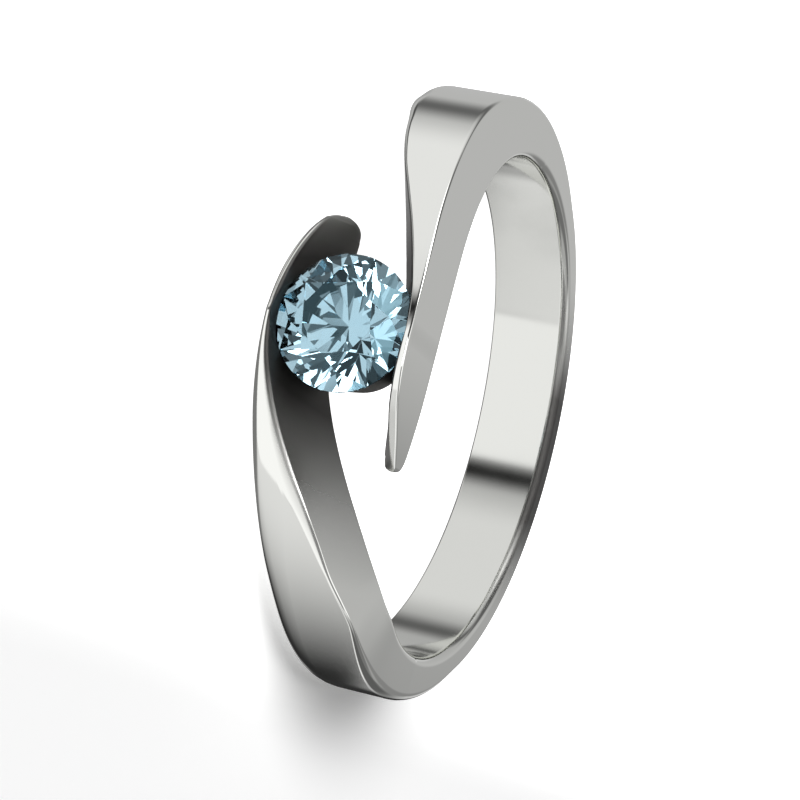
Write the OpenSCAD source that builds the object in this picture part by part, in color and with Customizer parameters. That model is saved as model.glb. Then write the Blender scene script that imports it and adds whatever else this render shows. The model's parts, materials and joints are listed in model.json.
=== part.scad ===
// Bypass ring with one round brilliant held between its two arms.
// It is built round the finger axis, with the head towards -Y, and then laid on its side as it rests.

/* [Finger hole and shank] */
// Inside diameter of the finger hole
bore_d = 17.5; // [16.5:0.25:18]
// Width of the shank along the finger
shank_w = 2.9; // [2.7:0.05:3]
// Thickness of the shank at the back
back_t = 1.15; // [1:0.05:1.4]

/* [Head] */
// Width of the head along the finger, over both arms
head_w = 4.84; // [4.74:0.02:4.94]
// Height of the arms above the finger hole at the head
head_h = 2.85; // [2.75:0.05:3]
// How far the centre of the head's outer arc lies from the finger axis, towards the head
head_arc_c = 1.15; // [1.1:0.05:1.25]
// Radius of the rounded middle of each side face, seen from above the stone
flare_r = 25; // [22:1:30]
// Angle of the flat flanks that lead from the head to the shank
flare_angle = 8; // [7.5:0.25:9]

/* [Arm tips] */
// Angle at which the outside of each arm falls towards its tip
tip_fall = 47.5; // [44:0.5:52]
// Distance of the tip's end from the middle of the head
tip_reach = 3.98; // [3.8:0.02:4.2]
// Radius that leads from the top of the head into the falling edge
tip_blend_r = 3.2; // [2:0.1:3.4]
// How far the flat underside of the tip lies below the top of the finger hole
tip_under = 0.45; // [0.35:0.05:0.55]
// Radius of the rounded end, seen from the side
tip_end_r = 0.35; // [0.25:0.05:0.45]
// Radius of the rounded end, seen from above the stone
tip_plan_r = 1.2; // [0.9:0.05:1.2]

/* [Stone] */
// Diameter of the stone at its girdle
stone_d = 4.4; // [4.3:0.02:4.5]
// Height of the girdle's middle above the finger hole
girdle_up = 2.2; // [2.15:0.01:2.3]
// Thickness of the girdle
girdle_t = 0.12; // [0.1:0.01:0.16]
// Width of the table as a share of the diameter
table_share = 0.54; // [0.5:0.01:0.6]
// Angle of the crown's main facets
crown_angle = 34; // [32:0.5:36]
// Angle of the pavilion's main facets
pavilion_angle = 41; // [40:0.25:41.5]
// How far the star facets reach from the table towards the girdle
star_share = 0.5; // [0.4:0.05:0.6]
// How far the lower girdle facets reach from the girdle towards the culet
lower_share = 0.77; // [0.7:0.01:0.85]
// Turn of the stone about its own axis
stone_turn = 34; // [0:1:45]

/* [Cup under the stone] */
// Outside radius of the cup at its rim
cup_rim_r = 2.12; // [2:0.02:2.16]
// Outside radius of the cup where it meets the finger hole
cup_foot_r = 1.68; // [1.5:0.02:1.8]
// Depth of the rim below the girdle's middle
cup_drop = 0.25; // [0.2:0.01:0.35]
// Radius of the opening behind the stone
cup_hole_r = 1.25; // [1:0.05:1.35]
// Clearance between the stone and the metal
stone_gap = 0.03; // [0.02:0.01:0.05]

/* [Hidden] */

bore_r = bore_d / 2;
back_r = bore_r + back_t;
head_r = bore_r + head_h;
head_arc_r = head_r - head_arc_c;
shank_z = shank_w / 2;
head_z = head_w / 2;
reach = head_r + 2;         // past every surface of the ring
past_tip = tip_reach + 2.2; // where the cuts at a tip end, short of the other arm's root

// The cut face of one arm: its angle from the head towards the arm's own root,
// and how high the face stands across the width at the finger hole and at the outside.
ANGLE = 0;
AT_BORE = 1;
AT_OUTSIDE = 2;
cut_rows = [
    [-30, -1.24, -2.04],
    [-20, -1.22, -2.02],
    [ -8, -1.15, -2.12],
    [  0, -1.08, -2.20],
    [  6, -1.00, -2.07],
    [ 12, -0.80, -1.71],
    [ 18, -0.50, -1.24],
    [ 24, -0.16, -0.68],
    [ 30,  0.19, -0.11],
    [ 36,  0.53,  0.36],
    [ 42,  0.83,  0.73],
    [ 48,  1.08,  1.08],
    [ 54,  1.28,  1.37],
    [ 60,  1.44,  1.57],
    [ 66,  1.68,  1.84],
];
cut_step = 2;               // degrees between the rulings of a cut face
last_row = len(cut_rows) - 1;
tip_inside = -cut_rows[0][AT_BORE] - 0.1; // just below the upper arm's tip
root_angle = cut_rows[last_row][ANGLE];
tip_angle = cut_rows[0][ANGLE];

// The circle that rounds the tip's end, and where the falling edge runs into it
tip_under_h = bore_r - tip_under;
end_centre = [tip_reach - tip_end_r, -tip_under_h - tip_end_r];
fall_end = end_centre + tip_end_r * [sin(tip_fall), -cos(tip_fall)];

// How the ring lies on its side: the wide head lifts one end.
rest_tilt = atan((head_z - shank_z) / (back_r + bore_r));
rest_lift = head_z * cos(rest_tilt) - bore_r * sin(rest_tilt);
rest_shift = ((head_r * cos(rest_tilt) + head_z * sin(rest_tilt))
    - (back_r * cos(rest_tilt) + shank_z * sin(rest_tilt))) / 2;

// The brilliant's own sizes, with its table towards +Z
stone_r = stone_d / 2;
girdle_h = bore_r + girdle_up;
half_girdle = girdle_t / 2;
mains = 8;
rim_steps = 4;              // straight stretches of girdle in a sixteenth
half_main = 180 / mains;
table_r = table_share * stone_r;
crown_h = (stone_r - table_r) * tan(crown_angle);
pavilion_h = stone_r * tan(pavilion_angle);
star_r = table_r * cos(half_main) + star_share * (stone_r - table_r * cos(half_main));
lower_r = (1 - lower_share) * stone_r;
lower_h = (stone_r - lower_r * cos(half_main)) * tan(pavilion_angle);

// Row of the table that starts the span holding this angle
function row_at(a, i = 0) = i >= last_row - 1 || a < cut_rows[i + 1][ANGLE] ? i : row_at(a, i + 1);

// Height of the cut face at an angle, with a smooth curve through the rows
function cut_z(a, column) =
    let (i = row_at(a),
         before = cut_rows[max(i - 1, 0)],
         start = cut_rows[i],
         end = cut_rows[i + 1],
         after = cut_rows[min(i + 2, last_row)],
         span = end[ANGLE] - start[ANGLE],
         t = (a - start[ANGLE]) / span,
         slope_in = (end[column] - before[column]) / (end[ANGLE] - before[ANGLE]) * span,
         slope_out = (after[column] - start[column]) / (after[ANGLE] - start[ANGLE]) * span)
    (2 * t * t * t - 3 * t * t + 1) * start[column] + (t * t * t - 2 * t * t + t) * slope_in
    + (3 * t * t - 2 * t * t * t) * end[column] + (t * t * t - t * t) * slope_out;

// How far the outside lies from the finger axis: on the head's arc, and on the falling tip
function arc_reach(a) = head_arc_c * cos(a) + sqrt(pow(head_arc_r, 2) - pow(head_arc_c * sin(a), 2));
function fall_reach(a) = (fall_end.x * sin(tip_fall) - fall_end.y * cos(tip_fall)) / cos(a + tip_fall);

// Radius of the outside at an angle, on the side of the arm's root or of its tip
function outside(a) = a < 0 ? min(arc_reach(a), fall_reach(a)) : arc_reach(a);

// A point of the ring at an angle from the head, a radius and a height
function around(a, r, z) = [r * sin(a), -r * cos(a), z];

function arc_points(centre, r, from, to, steps) =
    [for (i = [0:steps]) let (a = from + (to - from) * i / steps) centre + r * [cos(a), sin(a)]];

// The ring turned half round the stone's axis, which swaps its two arms
module other_arm() {
    rotate([0, 180, 0]) children();
}

// Outside of the ring: the head's arc and the back's arc, joined by their common tangents
module outline_prism() {
    lean = asin((head_arc_r - back_r) / head_arc_c);
    normal = [cos(lean), sin(lean)];
    front = [0, -head_arc_c] + head_arc_r * normal;
    rear = back_r * normal;
    translate([0, -head_arc_c, -head_w]) cylinder(h = 2 * head_w, r = head_arc_r, $fn = 180);
    translate([0, 0, -head_w]) cylinder(h = 2 * head_w, r = back_r, $fn = 180);
    translate([0, 0, -head_w]) linear_extrude(2 * head_w)
        polygon([front, rear, [-rear.x, rear.y], [-front.x, front.y]]);
}

// Both side faces: flat at the shank, then flaring to the rounded middle of the head
module width_prism() {
    crown = arc_points([0, head_z - flare_r], flare_r, 90 - flare_angle, 90 + flare_angle, 16);
    flank_start = crown[0];
    flank_end = flank_start.x + (flank_start.y - shank_z) / tan(flare_angle);
    half = concat([[flank_end, shank_z]], crown, [[-flank_end, shank_z]]);
    rotate([90, 0, 0]) linear_extrude(reach)
        polygon(concat(half, [for (p = half) -p]));
    translate([-reach, -reach, -shank_z]) cube([2 * reach, 2 * reach, shank_w]);
}

// The space between the two arms, from one root to the other. Each row runs outwards
// along the lower arm's face, and back inwards along the upper arm's. A face is straight
// from the finger hole to the outside, and level beyond it.
module bypass_gap() {
    inner = bore_r - 0.6;
    past = 0.05;            // how far beyond the outside a face stays straight
    open = head_w;          // beyond the side face, where that arm has ended
    steps = 2 * root_angle / cut_step;
    face = function(a) let (
            low = cut_z(a, AT_BORE),
            slope = (cut_z(a, AT_OUTSIDE) - low) / (outside(a) - bore_r),
            edge = outside(a) + past,
            high = low + slope * (edge - bore_r))
        a > tip_angle ? [[inner, low - slope * (bore_r - inner)], [edge, high], [reach, high]]
        : [[inner, -open], [edge, -open], [reach, -open]];
    rows = [for (i = [0:steps])
        let (a = -root_angle + i * cut_step, low = face(a), high = face(-a))
        [for (p = low) around(a, p[0], p[1]), for (k = [2:-1:0]) around(a, high[k][0], -high[k][1])]];
    size = len(rows[0]);
    points = [for (row = rows) each row];
    last = size * steps;
    sides = [for (i = [0:steps - 1], k = [0:size - 1])
        let (p = size * i + k, q = size * i + (k + 1) % size)
        each [[p, q, p + size], [q, q + size, p + size]]];
    ends = [for (k = [1:size - 2])
        each [[0, k + 1, k], [last, last + k, last + k + 1]]];
    polyhedron(points, concat(sides, ends));
}

// What is taken off the upper arm past the head, seen from the side: the outside
// leaves the head's arc through a blend, falls straight, and turns round the tip's end
// into an underside that runs back to the finger hole.
module tip_fall_cut() {
    fall = [cos(tip_fall), sin(tip_fall)];
    inward = [-sin(tip_fall), cos(tip_fall)];
    // The blend circle touches the head's arc from inside and the falling edge
    arc_centre = [0, -head_arc_c];
    from_edge = (arc_centre - fall_end) * inward - tip_blend_r;
    along = (arc_centre - fall_end) * fall - sqrt(pow(head_arc_r - tip_blend_r, 2) - pow(from_edge, 2));
    blend_centre = fall_end + along * fall + tip_blend_r * inward;
    away = blend_centre - arc_centre;
    blend = arc_points(blend_centre, tip_blend_r, atan2(away.y, away.x), tip_fall - 90, 8);
    end = arc_points(end_centre, tip_end_r, tip_fall - 90, 90, 10);
    above = blend[0] + [0, -reach / 4];
    underside = [tip_reach / 2, -tip_under_h];
    in_hole = 2 - bore_r;
    translate([0, 0, tip_inside]) linear_extrude(head_w)
        polygon(concat([above], blend, end,
            [underside, [underside.x, in_hole], [past_tip, in_hole], [past_tip, -reach]]));
}

// What is taken off the upper arm's end, seen from above the stone
module tip_plan_cut() {
    centre = [tip_reach - tip_plan_r, tip_plan_r - cut_rows[0][AT_BORE]];
    nose = arc_points(centre, tip_plan_r, -90, 0, 10);
    rotate([90, 0, 0]) translate([0, 0, bore_r - 2]) linear_extrude(reach)
        polygon(concat([[centre.x, tip_inside]], nose, [[tip_reach, head_w],
            [past_tip, head_w], [past_tip, tip_inside]]));
}

// The cup that carries the stone: a slightly conical wall from the finger hole to its rim
module cup() {
    rim = girdle_h - cup_drop;
    rotate([90, 0, 0]) rotate_extrude($fn = 96)
        polygon([[0, bore_r - 1], [cup_foot_r, bore_r - 1], [cup_foot_r, bore_r - 0.1],
                 [cup_rim_r, rim], [0, rim]]);
}

// Room for the stone, a little larger all round, and the opening behind it
module stone_seat() {
    wide = stone_r + stone_gap;
    rotate([90, 0, 0]) rotate_extrude($fn = 96)
        polygon([[0, bore_r - 2], [cup_hole_r, bore_r - 2],
                 [cup_hole_r, girdle_h - half_girdle - (wide - cup_hole_r) * tan(pavilion_angle)],
                 [wide, girdle_h - half_girdle - stone_gap], [wide, reach], [0, reach]]);
}

module band() {
    color("gainsboro") rest() difference() {
        union() {
            difference() {
                intersection() {
                    outline_prism();
                    width_prism();
                }
                bypass_gap();
                tip_fall_cut();
                other_arm() tip_fall_cut();
                tip_plan_cut();
                other_arm() tip_plan_cut();
            }
            cup();
        }
        cylinder(h = 4 * head_w, r = bore_r, center = true, $fn = 180);
        stone_seat();
    }
}

// A point of the stone by its turn, its radius and its height over the girdle's middle
function on_stone(turn, r, h) = [r * cos(turn), r * sin(turn), h];

// Height of the plane through three points, over or under a fourth
function plane_height(a, b, c, p) =
    let (across = cross(b - a, c - a))
    a.z - (across.x * (p.x - a.x) + across.y * (p.y - a.y)) / across.z;

// One edge of the girdle, all the way round: in each sixteenth it follows the facet
// that passes through two girdle points and the ring of points at tip_r and tip_h.
function girdle_edge(tip_r, tip_h, h) =
    [for (k = [0:2 * mains - 1], j = [0:rim_steps - 1])
        let (start = on_stone(k * half_main, stone_r, h),
             end = on_stone((k + 1) * half_main, stone_r, h),
             tip = on_stone((k + 1 - k % 2) * half_main, tip_r, tip_h),
             p = on_stone((k + j / rim_steps) * half_main, stone_r, h))
        [p.x, p.y, plane_height(start, end, tip, p)]];

// Round brilliant: a table, 8 main, 8 star and 16 upper girdle facets above the girdle,
// and 8 main and 16 lower girdle facets below it
module brilliant() {
    top = half_girdle + crown_h;
    star_h = half_girdle + (stone_r - star_r * cos(half_main)) * tan(crown_angle);
    table = [for (k = [0:mains - 1]) on_stone(2 * k * half_main, table_r, top)];
    stars = [for (k = [0:mains - 1]) on_stone((2 * k + 1) * half_main, star_r, star_h)];
    upper = girdle_edge(star_r, star_h, half_girdle);
    under = girdle_edge(lower_r, -half_girdle - lower_h, -half_girdle);
    lowers = [for (k = [0:mains - 1])
        on_stone((2 * k + 1) * half_main, lower_r, -half_girdle - lower_h)];
    culet = [0, 0, -half_girdle - pavilion_h];

    // Number of the first point of each ring
    star0 = mains;
    upper0 = 2 * mains;
    rim = len(upper);
    under0 = upper0 + rim;
    lower0 = under0 + rim;
    last = lower0 + mains;

    main_facets = [for (k = [0:mains - 1])
        let (before = (k + mains - 1) % mains, next = (k + 1) % mains, at = 2 * k * rim_steps)
        each [[k, star0 + k, next], [k, star0 + before, upper0 + at, star0 + k],
              [last, lower0 + k, under0 + at, lower0 + before]]];
    girdle_facets = [for (k = [0:2 * mains - 1])
        let (at = k * rim_steps, tip = floor(k / 2))
        each [concat([star0 + tip], [for (j = [0:rim_steps]) upper0 + (at + j) % rim]),
              concat([lower0 + tip], [for (j = [rim_steps:-1:0]) under0 + (at + j) % rim])]];
    girdle = [for (j = [0:rim - 1])
        let (next = (j + 1) % rim)
        [upper0 + j, under0 + j, under0 + next, upper0 + next]];
    polyhedron(concat(table, stars, upper, under, lowers, [culet]),
        [for (face = concat([[for (k = [0:mains - 1]) k]], main_facets, girdle_facets, girdle))
            [for (i = [len(face) - 1:-1:0]) face[i]]]);
}

module stone() {
    color([0.62, 0.83, 0.92, 0.6]) rest() translate([0, -girdle_h, 0])
        rotate([90, 0, 0]) rotate([0, 0, stone_turn]) brilliant();
}

// Lays the ring on its side, with its lowest points at Z 0 and its box centred on the origin
module rest() {
    translate([0, rest_shift, rest_lift]) rotate([-rest_tilt, 0, 0]) children();
}

band();
stone();
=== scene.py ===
# %% [markdown]
# # A bypass ring with one pale blue stone
#
# The ring is one piece of polished white metal. Its two ends run past each other at the
# head, and between them a small cup carries a round brilliant. This lesson loads the
# plain solids of that ring, and then makes each of them again with the soft edges,
# the cut and the polish that the real thing has. All sizes of the ring are in
# millimetres, and are turned into metres when a piece is finished.

# %% Load the frame
import json
import math

import bmesh
import bpy
from mathutils import Matrix, Vector


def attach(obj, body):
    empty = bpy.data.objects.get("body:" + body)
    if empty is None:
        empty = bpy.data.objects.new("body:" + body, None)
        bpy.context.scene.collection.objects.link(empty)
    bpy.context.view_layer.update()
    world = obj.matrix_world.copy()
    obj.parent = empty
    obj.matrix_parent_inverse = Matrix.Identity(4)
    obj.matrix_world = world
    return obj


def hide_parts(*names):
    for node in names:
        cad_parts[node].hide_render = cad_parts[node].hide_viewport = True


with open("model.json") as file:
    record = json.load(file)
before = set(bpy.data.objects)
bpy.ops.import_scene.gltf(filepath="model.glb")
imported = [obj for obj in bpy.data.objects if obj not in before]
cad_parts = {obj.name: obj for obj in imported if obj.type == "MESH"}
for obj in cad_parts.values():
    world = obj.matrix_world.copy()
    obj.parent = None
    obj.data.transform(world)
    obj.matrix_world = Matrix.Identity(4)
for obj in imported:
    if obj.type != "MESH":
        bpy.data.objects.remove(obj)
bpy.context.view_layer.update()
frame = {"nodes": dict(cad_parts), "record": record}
print("solids:", sorted(frame["nodes"]))

# %% [markdown]
# ## Where the ring lies
#
# A ring is easiest to think of round its finger axis. So every piece is first made in
# the ring's own place: the finger axis is Z, and the head with the stone points to -Y.
# A real ring on a table tips a little, because its head is wider than its back. The
# finger hole's centre and axis are in the record, and they give one matrix that lays
# a finished piece where the solid lies.

# %% From the ring's own place to the table
MM = 0.001
hole = frame["record"]["mounts"][0]
bore_r = hole["dims"]["r_mm"]
rest_tilt = math.atan2(hole["axis"][1], hole["axis"][2])
lay_down = (
    Matrix.Translation(hole["pos_m"])
    @ Matrix.Rotation(-rest_tilt, 4, "X")
    @ Matrix.Scale(MM, 4)
)
print(f"finger hole {2 * bore_r} mm across, tipped by {math.degrees(rest_tilt):.2f} degrees")

# %% [markdown]
# ## Putting a piece in the scene
#
# A piece is built as a bmesh, which is a mesh that can still be worked. When it is done, it
# is laid down, its faces are turned outward, and it becomes an object. The object stays
# at the origin, and the mesh holds its place, as the frame wants it.

# %% Helpers that make objects
def placed(data, name):
    """A new object in the scene."""
    thing = bpy.data.objects.new(name, data)
    bpy.context.scene.collection.objects.link(thing)
    return thing


def as_object(bm, name):
    """A new object with its own mesh, at the origin."""
    mesh = bpy.data.meshes.new(name)
    bm.to_mesh(mesh)
    bm.free()
    return placed(mesh, name)


def finished(bm, name, material, smooth):
    """Lays a mesh down where the solid lies, as an object with its place in its mesh."""
    bmesh.ops.transform(bm, matrix=lay_down, verts=bm.verts)
    bmesh.ops.recalc_face_normals(bm, faces=bm.faces)
    for face in bm.faces:
        face.smooth = smooth
    piece = as_object(bm, name)
    piece.data.materials.append(material)
    print(name, "has", len(piece.data.polygons), "faces")
    return piece


# %% [markdown]
# ## The camera
#
# A small thing is looked at through a long lens, which keeps its far side nearly as
# large as its near side. The camera stands not quite nine centimetres away, and it is
# turned on its side, so that the lying ring shows upright.

# %% Camera
LENS = 119.925
CAMERA_SPOT = Vector((14.032, -83.693, 36.108))
CAMERA_AIM = Vector((1.1341, -4.6249, 2.7007))
CAMERA_ROLL = math.radians(-101.233)

camera = placed(bpy.data.cameras.new("camera"), "camera")
bpy.context.scene.camera = camera
camera.data.lens = LENS
camera.data.sensor_width = 36
camera.data.clip_start = 0.005
camera.data.clip_end = 5
level = (CAMERA_AIM - CAMERA_SPOT).to_track_quat("-Z", "Y").to_matrix().to_4x4()
camera.matrix_world = (
    Matrix.Translation(CAMERA_SPOT * MM) @ level @ Matrix.Rotation(-CAMERA_ROLL, 4, "Z")
)
print("camera stands", round(CAMERA_SPOT.z), "mm over the table")

# %% [markdown]
# ## The outline of the ring
#
# Seen along the finger, the outside of the ring is an arc round the head and a
# smaller arc round the back, joined by a short straight. Seen from above the stone,
# both sides swell gently from the shank to the head.

# %% Outline of the shank and the head
BACK_R = 9.9
HEAD_ARC_R = 10.45
HEAD_ARC_C = 1.15
SHANK_Z = 1.45
HEAD_Z = 2.42
FLARE_R = 25
FLARE_ANGLE = math.radians(8)
SIDE_SOFT = 0.1

lean = math.asin((HEAD_ARC_R - BACK_R) / HEAD_ARC_C)
arc_ends = math.atan2(HEAD_ARC_R * math.cos(lean), HEAD_ARC_C - HEAD_ARC_R * math.sin(lean))
back_starts = math.pi / 2 + lean


def smooth_max(a, b, soft):
    """The larger of two heights, with a rounded change from one to the other."""
    near = max(soft - abs(a - b), 0) / soft
    return max(a, b) + near * near * soft / 4


def outline(turn):
    """Distance of the ring's outside from the finger axis, at a turn from the head."""
    turn = abs(turn)
    if turn < arc_ends:
        across = HEAD_ARC_C * math.sin(turn)
        return HEAD_ARC_C * math.cos(turn) + math.sqrt(HEAD_ARC_R**2 - across**2)
    if turn < back_starts:
        return BACK_R / math.sin(turn - lean)
    return BACK_R


def side_face(x, y):
    """Height of a side face over the ring's middle plane."""
    if y > 0:
        return SHANK_Z
    flank_x = FLARE_R * math.sin(FLARE_ANGLE)
    inside = min(abs(x), flank_x)
    height = HEAD_Z - FLARE_R + math.sqrt(FLARE_R**2 - inside**2)
    height -= (abs(x) - inside) * math.tan(FLARE_ANGLE)
    return smooth_max(height, SHANK_Z, SIDE_SOFT)


print(f"outside {outline(0):.2f} mm from the axis at the head, {outline(math.pi):.2f} mm at the back")

# %% [markdown]
# ## The cut between the arms
#
# A goldsmith saws the head apart along a slanting line and files both faces to long
# twisted planes. The table below gives one face at a few turns from the head: its
# height where it meets the finger hole, and where it meets the outside. A smooth
# curve runs through the rows. The two arms were filed by hand, so the rows near
# each tip differ a little.

# %% Table of the cut faces
TURN = 0
AT_BORE = 1
AT_OUTSIDE = 2
SHARED_ROWS = [
    [0, -1.08, -2.20],
    [6, -1.00, -2.07],
    [12, -0.80, -1.71],
    [18, -0.50, -1.24],
    [24, -0.16, -0.68],
    [30, 0.19, -0.11],
    [36, 0.53, 0.36],
    [42, 0.83, 0.73],
    [48, 1.08, 1.14],
    [54, 1.28, 1.46],
    [60, 1.44, 1.64],
    [66, 1.68, 1.84],
    [72, 1.92, 2.11],
]
NEAR_TIP_ROWS = [
    [-30, -1.56, -2.12],
    [-25, -1.48, -2.08],
    [-20, -1.40, -1.95],
    [-14, -1.32, -1.98],
    [-8, -1.22, -2.10],
]
FAR_TIP_ROWS = [
    [-30, -1.22, -2.04],
    [-25, -1.20, -2.04],
    [-20, -1.16, -2.02],
    [-14, -1.14, -2.06],
    [-8, -1.12, -2.13],
]


def cut_height(rows, degrees, column):
    """Height of a cut face on a smooth curve through its rows."""
    last = len(rows) - 1
    degrees = max(rows[0][TURN], min(degrees, rows[last][TURN]))
    i = max(k for k in range(last) if rows[k][TURN] <= degrees)
    before, start, end, after = rows[max(i - 1, 0)], rows[i], rows[i + 1], rows[min(i + 2, last)]
    span = end[TURN] - start[TURN]
    t = (degrees - start[TURN]) / span
    slope_in = (end[column] - before[column]) / (end[TURN] - before[TURN]) * span
    slope_out = (after[column] - start[column]) / (after[TURN] - start[TURN]) * span
    return (
        (2 * t**3 - 3 * t**2 + 1) * start[column]
        + (t**3 - 2 * t**2 + t) * slope_in
        + (3 * t**2 - 2 * t**3) * end[column]
        + (t**3 - t**2) * slope_out
    )


print("rows of a cut face:", len(SHARED_ROWS) + len(NEAR_TIP_ROWS))

# %% [markdown]
# ## The tips
#
# Past the stone each arm falls away in a straight slope and ends in a thin rounded
# tip. Seen along the finger, a tip is drawn by its underside and its slope. Seen from
# above the stone, it is drawn by the round of its nose, which comes after this.

# %% Shape of the tips
UNDER_FROM = math.radians(8.5)
NEAR_TIP = {
    "rows": NEAR_TIP_ROWS + SHARED_ROWS, "end_x": 3.92, "slope_at_end": -8.85,
    "fall": math.radians(47.5), "blend_r": 3.2,
    "inner_r": 0.50, "outer_r": 0.08, "nose_r": 0.50, "nose_z": 1.98,
}
FAR_TIP = {
    "rows": FAR_TIP_ROWS + SHARED_ROWS, "end_x": 3.89, "slope_at_end": -8.91,
    "fall": math.radians(57.8), "blend_r": 4.8,
    "inner_r": 0.23, "outer_r": 0.51, "nose_r": 0.78, "nose_z": 1.96,
}


def end_drop(x, end_x, radius):
    """How far a line bends away over the last stretch before a rounded end."""
    s = max(0, min(1, (x - end_x + radius) / radius))
    return radius * (1 - math.sqrt(1 - s * s))


def inner_y(tip, x):
    """Inside of an arm by its x: the finger hole, then a straight underside."""
    from_x = bore_r * math.sin(UNDER_FROM)
    if x < from_x:
        return -math.sqrt(bore_r**2 - x**2)
    straight = -bore_r * math.cos(UNDER_FROM) + (x - from_x) * math.tan(UNDER_FROM)
    return straight - end_drop(x, tip["end_x"], tip["inner_r"])


def outer_y(tip, x):
    """Outside of an arm by its x: the head's arc, a blend, the slope and the end."""
    fall, blend_r = tip["fall"], tip["blend_r"]
    inward = Vector((-math.sin(fall), math.cos(fall)))
    along = Vector((math.cos(fall), math.sin(fall)))
    on_slope = Vector((tip["end_x"], tip["slope_at_end"]))
    arc_centre = Vector((0, -HEAD_ARC_C))
    away = (arc_centre - on_slope).dot(inward) - blend_r
    back = (arc_centre - on_slope).dot(along) - math.sqrt((HEAD_ARC_R - blend_r) ** 2 - away**2)
    blend_centre = on_slope + along * back + inward * blend_r
    toward = (blend_centre - arc_centre).normalized()
    blend_from = (blend_centre + toward * blend_r).x
    blend_to = (blend_centre - inward * blend_r).x
    if x < blend_from:
        return -HEAD_ARC_C - math.sqrt(HEAD_ARC_R**2 - x**2)
    if x < blend_to:
        return blend_centre.y - math.sqrt(blend_r**2 - (x - blend_centre.x) ** 2)
    return on_slope.y + (x - on_slope.x) * math.tan(fall) + end_drop(x, tip["end_x"], tip["outer_r"])


print(f"outside of the near tip at x 2.5: y {outer_y(NEAR_TIP, 2.5):.2f}")

# %% [markdown]
# ## The reach of a nose
#
# The round of a nose is a piece of a circle. It meets the tip's end just where the rounded
# side face ends, and from that height follows how far along the arm the circle reaches.

# %% Circle of each nose
SIDE_LIP = 0.10


def nose_height(tip, x):
    """Height of the nose's curve, seen from above the stone."""
    across = max(0, x - (tip["end_x"] - tip["nose_reach"]))
    return tip["nose_z"] - math.sqrt(max(0, tip["nose_r"] ** 2 - across**2))


for tip in (NEAR_TIP, FAR_TIP):
    side_z = side_face(tip["end_x"], -1)
    end_z = min(tip["nose_z"], side_z - SIDE_LIP)
    tip["nose_reach"] = math.sqrt(tip["nose_r"] ** 2 - (tip["nose_z"] - end_z) ** 2)
    tip["side_r"] = side_z - end_z
    print(f"tip ends {tip['end_x']} mm from the middle, its side rounded by {tip['side_r']:.2f} mm")

# %% [markdown]
# ## One slice of the band
#
# Anywhere round the ring, a slice across the band is a four-sided section. Its
# corners are the inner and outer ends of the cut face (or of the lower side face) and
# of the upper side face. Both arms are the same but for their tips, because half a
# turn about the stone's axis swaps them. Where the cut runs out into the side face
# the file left a soft corner, and no crease.

# %% Corners of a slice
TIP_FROM = math.radians(9)
CUT_ENDS = -72
THINNEST_LIP = 0.03
CREASE_SOFT = 0.30
CATCH_UP = 0.25


def corners(tip, x_in, y_in, x_out, y_out):
    """Inner low, outer low, outer high and inner high corner of a slice."""
    found = []
    for x, y, column in ((x_in, y_in, AT_BORE), (x_out, y_out, AT_OUTSIDE)):
        turn = math.degrees(math.atan2(x, -y))
        high = side_face(x, y) - end_drop(x, tip["end_x"], tip["side_r"])
        low = -side_face(x, y)
        if turn > CUT_ENDS:
            low = smooth_max(-cut_height(tip["rows"], -turn, column), low, CREASE_SOFT)
        low = min(low, high - THINNEST_LIP)
        found.append((Vector((x, y, low)), Vector((x, y, high))))
    (in_low, in_high), (out_low, out_high) = found
    return [in_low, out_low, out_high, in_high]


def tip_slice(tip, t):
    """Corners at a share of the way along a tip, closer together toward its end."""
    x_in = bore_r * math.sin(TIP_FROM)
    x_out = outline(TIP_FROM) * math.sin(TIP_FROM)
    catch_up = max(0, 1 - t / CATCH_UP)
    gap = (x_out - x_in) * catch_up * catch_up * (3 - 2 * catch_up)
    x_out += (tip["end_x"] - x_out) * (1 - (1 - t) ** 2)
    x_in = x_out - gap
    return corners(tip, x_in, inner_y(tip, x_in), x_out, outer_y(tip, x_out))


def slice_at(tip, share, body_share):
    """Corners at a share of the way from the back of the ring to a tip."""
    if share > body_share:
        return tip_slice(tip, (share - body_share) / (1 - body_share))
    turn = -math.pi + (math.pi + TIP_FROM) * share / body_share
    x_out, y_out = outline(turn) * math.sin(turn), -outline(turn) * math.cos(turn)
    if turn > 0:
        y_out = outer_y(tip, x_out)
    return corners(tip, bore_r * math.sin(turn), -bore_r * math.cos(turn), x_out, y_out)


at_head = slice_at(NEAR_TIP, 0.8, 0.85)
print("slice near the head:", [tuple(round(n, 2) for n in c) for c in at_head])

# %% [markdown]
# ## Soft edges
#
# Polishing on a cloth wheel never leaves a true corner. On this ring the rounding is wide
# at the shank, and on the arms it is long over the outside and short down the cut, so
# the highlights bend and thin out along the cut edge. Two tables give the
# rounding at a few turns from the head: how far it reaches over the outside of the
# band, and how far down the other face.

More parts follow.
